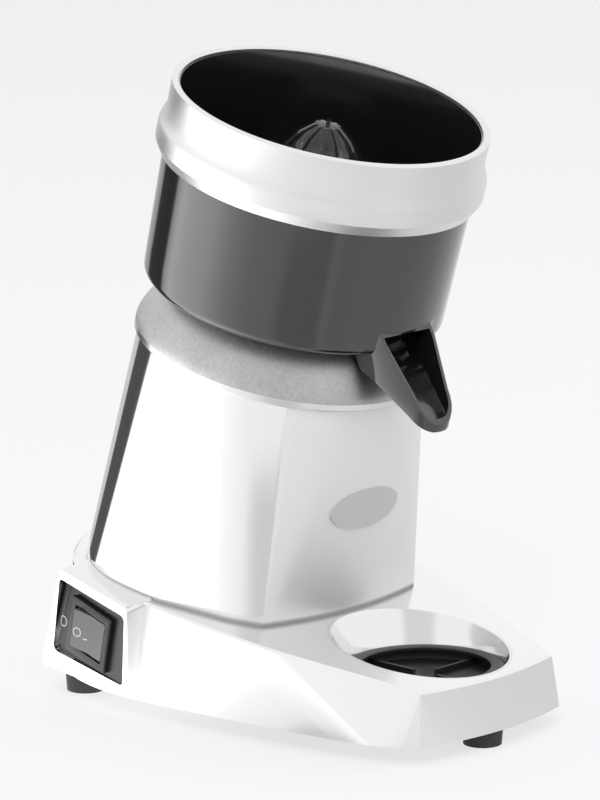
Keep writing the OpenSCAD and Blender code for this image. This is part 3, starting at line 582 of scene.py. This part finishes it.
def ringForm(radius):
    # a flat stroke, spun into a ring
    form = bmesh.new()
    bmesh.ops.create_circle(form, cap_ends=False, segments=switchMarks["strokeSides"], radius=0.5)
    bmesh.ops.scale(form, vec=(switchMarks["stroke"], switchMarks["stand"] * 2, 1), verts=form.verts)
    bmesh.ops.rotate(form, cent=(0, 0, 0), matrix=Matrix.Rotation(math.pi / 2, 3, "X"), verts=form.verts)
    bmesh.ops.translate(form, vec=(radius, 0, 0), verts=form.verts)
    bmesh.ops.spin(form, geom=form.verts[:] + form.edges[:], cent=(0, 0, 0), axis=(0, 0, 1),
                   dvec=(0, 0, 0), angle=math.tau, steps=switchMarks["ringSteps"], use_merge=True,
                   use_duplicate=False)
    return form


def barForm(length):
    stand = switchMarks["stand"]
    form = bmesh.new()
    bmesh.ops.create_cube(form, size=1.0)
    bmesh.ops.scale(form, vec=(length, switchMarks["stroke"], stand * 2), verts=form.verts)
    bmesh.ops.bevel(form, geom=form.edges[:], offset=stand * switchMarks["barSoft"], segments=2,
                    profile=0.5, affect="EDGES", material=-1)
    return form


def placeMark(name, form, middle, facing, body):
    turn = Vector(facing).to_track_quat("Z", "Y").to_matrix().to_4x4()
    bmesh.ops.remove_doubles(form, verts=form.verts, dist=switchMarks["merge"])
    bmesh.ops.recalc_face_normals(form, faces=form.faces)
    bmesh.ops.transform(form, matrix=Matrix.Translation(middle) @ turn, verts=form.verts)
    mesh = bpy.data.meshes.new(name)
    form.to_mesh(mesh)
    form.free()
    mark = bpy.data.objects.new(name, mesh)
    mark.data.materials.append(finishes["print"])
    bpy.context.scene.collection.objects.link(mark)
    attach(mark, body)


for name, (middle, facing, radius, body) in switchMarks["rings"].items():
    placeMark(name, ringForm(radius), middle, facing, body)
for name, (middle, facing, length, body) in switchMarks["bars"].items():
    placeMark(name, barForm(length), middle, facing, body)
print("switch marks:", len(switchMarks["rings"]) + len(switchMarks["bars"]))


# studio: directions in degrees from +X towards +Y where they say so, and otherwise in radians
studio = {
    "floorSize": 9.0,
    "floorTone": 0.84,
    "floorSpread": 0.02,
    "floorCloud": (3, 2),
    "glowTone": 0.97,          # the camera sees the floor partly as an even glow
    "glowShare": 0.7,
    "backdrop": 0.985,
    "ambient": 0.62,
    "lamps": {                 # place, aim, size, watts
        "keyLamp": ((-1.5, -1.3, 2.3), (0, 0, 0.18), 1.6, 26),
        "sideLamp": ((1.8, -1.2, 1.2), (0, 0, 0.18), 1.2, 9),
        "topLamp": ((0.2, 0.5, 2.6), (0, 0, 0.1), 1.8, 16),
    },
    # what polished surfaces see of the room: degrees, and tone
    "room": ((-180, 1.1), (-160, 0.95), (-118, 0.92), (-113, 0.78), (-90, 0.85), (-60, 0.72),
             (-30, 0.68), (0, 0.8), (40, 0.95), (60, 0.6), (75, 0.6), (76, 0.03),
             (101.5, 0.03), (103, 1.2), (112, 2.4), (145, 2.4), (165, 1.5), (180, 1.1)),
    "roomTop": 3.0,            # the tone at which the ramp ends
    "horizon": (0.03, 0.15),   # z of the directions between which the room gives way to white
    "wallFrom": (-2.75, -2.5),      # a greyer wall over it, front left
    "wallTo": (-1.95, -1.75),
    "wallTop": (0.65, 0.8),         # z of the directions between which the wall ends
    "wallShade": 0.24,
    "mirrorShare": 0.92,       # how much of the floor polished surfaces see in the room's tone
    "shadeFrom": (-2.8, -2.62),     # painted shade on the floor close by, front left, as polished surfaces see it
    "shadeTo": (-2.2, -2.1),
    "shadeReach": (0.45, 0.62),
    "shadeDepth": 0.32,
}


def sector(turn, start, end):
    # 1 between two directions, with soft sides
    return turn.step(*start) * (1 - turn.step(*end))


def roomTone(paint, x, y):
    # the direction, and the tone of the room there
    turn = paint.node("ShaderNodeMath", {"operation": "ARCTAN2"}, {0: y, 1: x})
    stops = [((degrees + 180) / 360, rgb(tone / studio["roomTop"])) for degrees, tone in studio["room"]]
    share = turn * (1 / math.tau) + 0.5
    ramp = paint.node("ShaderNodeValToRGB", {"stops": stops}, {"Fac": share}, output="Color")
    return turn, ramp * studio["roomTop"]


def floorPaint():
    # the camera sees a pale floor with its shadow, and polished surfaces see the room in it
    paint = Paint("floorPaint")
    place = paint.place()
    tone = studio["floorTone"]
    cloud = paint.noise(place, *studio["floorCloud"])
    colour = paint.mixColour(cloud, rgb(tone), rgb(tone + studio["floorSpread"]))
    lit = paint.node("ShaderNodeBsdfDiffuse", {}, {"Color": colour})
    glow = paint.node("ShaderNodeEmission", {}, {"Color": rgb(studio["glowTone"]), "Strength": 1.0})
    direct = paint.mixShader(paint.ray("Is Camera Ray") * studio["glowShare"], lit, glow)
    x, y = paint.split(place, "X"), paint.split(place, "Y")
    turn, room = roomTone(paint, x, y)
    near = 1 - radiusOf(x, y).step(*studio["shadeReach"])
    shade = 1 - sector(turn, studio["shadeFrom"], studio["shadeTo"]) * near * studio["shadeDepth"]
    mirrored = paint.node("ShaderNodeEmission", {}, {"Color": room * shade, "Strength": 1.0})
    surface = paint.mixShader(paint.ray("Is Glossy Ray") * studio["mirrorShare"], direct, mirrored)
    paint.node("ShaderNodeOutputMaterial", {}, {"Surface": surface})
    return paint.material


def makeFloor():
    mesh = bpy.data.meshes.new("studioFloor")
    form = bmesh.new()
    bmesh.ops.create_grid(form, x_segments=1, y_segments=1, size=studio["floorSize"])
    form.to_mesh(mesh)
    form.free()
    floor = bpy.data.objects.new("studioFloor", mesh)
    floor.data.materials.append(floorPaint())
    bpy.context.scene.collection.objects.link(floor)


def makeWorld():
    world = bpy.data.worlds.new("studioWorld")
    bpy.context.scene.world = world
    air = Paint("studioWorld", world)
    x, y, z = air.axes(air.node("ShaderNodeTexCoord", output="Generated"))
    turn, tone = roomTone(air, x, y)
    wall = sector(turn, studio["wallFrom"], studio["wallTo"]) * (1 - z.step(*studio["wallTop"]))
    room = blend(tone, 1 - wall * studio["wallShade"], z.step(*studio["horizon"]))
    level = blend(studio["ambient"], 1, air.ray("Is Transmission Ray"))
    level = blend(level, room, air.ray("Is Glossy Ray"))
    level = blend(level, studio["backdrop"], air.ray("Is Camera Ray"))
    sky = air.node("ShaderNodeBackground", {}, {"Color": rgb(1.0), "Strength": level})
    air.node("ShaderNodeOutputWorld", {}, {"Surface": sky})


def makeLamps():
    for name, (spot, aim, size, watts) in studio["lamps"].items():
        data = bpy.data.lights.new(name, "AREA")
        data.shape = "DISK"
        data.size = size
        data.energy = watts
        lamp = bpy.data.objects.new(name, data)
        lamp.location = spot
        lamp.rotation_euler = (Vector(aim) - Vector(spot)).to_track_quat("-Z", "Y").to_euler()
        lamp.visible_glossy = False        # polished metal sees the room, not the lamps
        bpy.context.scene.collection.objects.link(lamp)


bpy.context.scene.view_settings.view_transform = "Standard"
makeFloor()
makeWorld()
makeLamps()
print("studio ready")
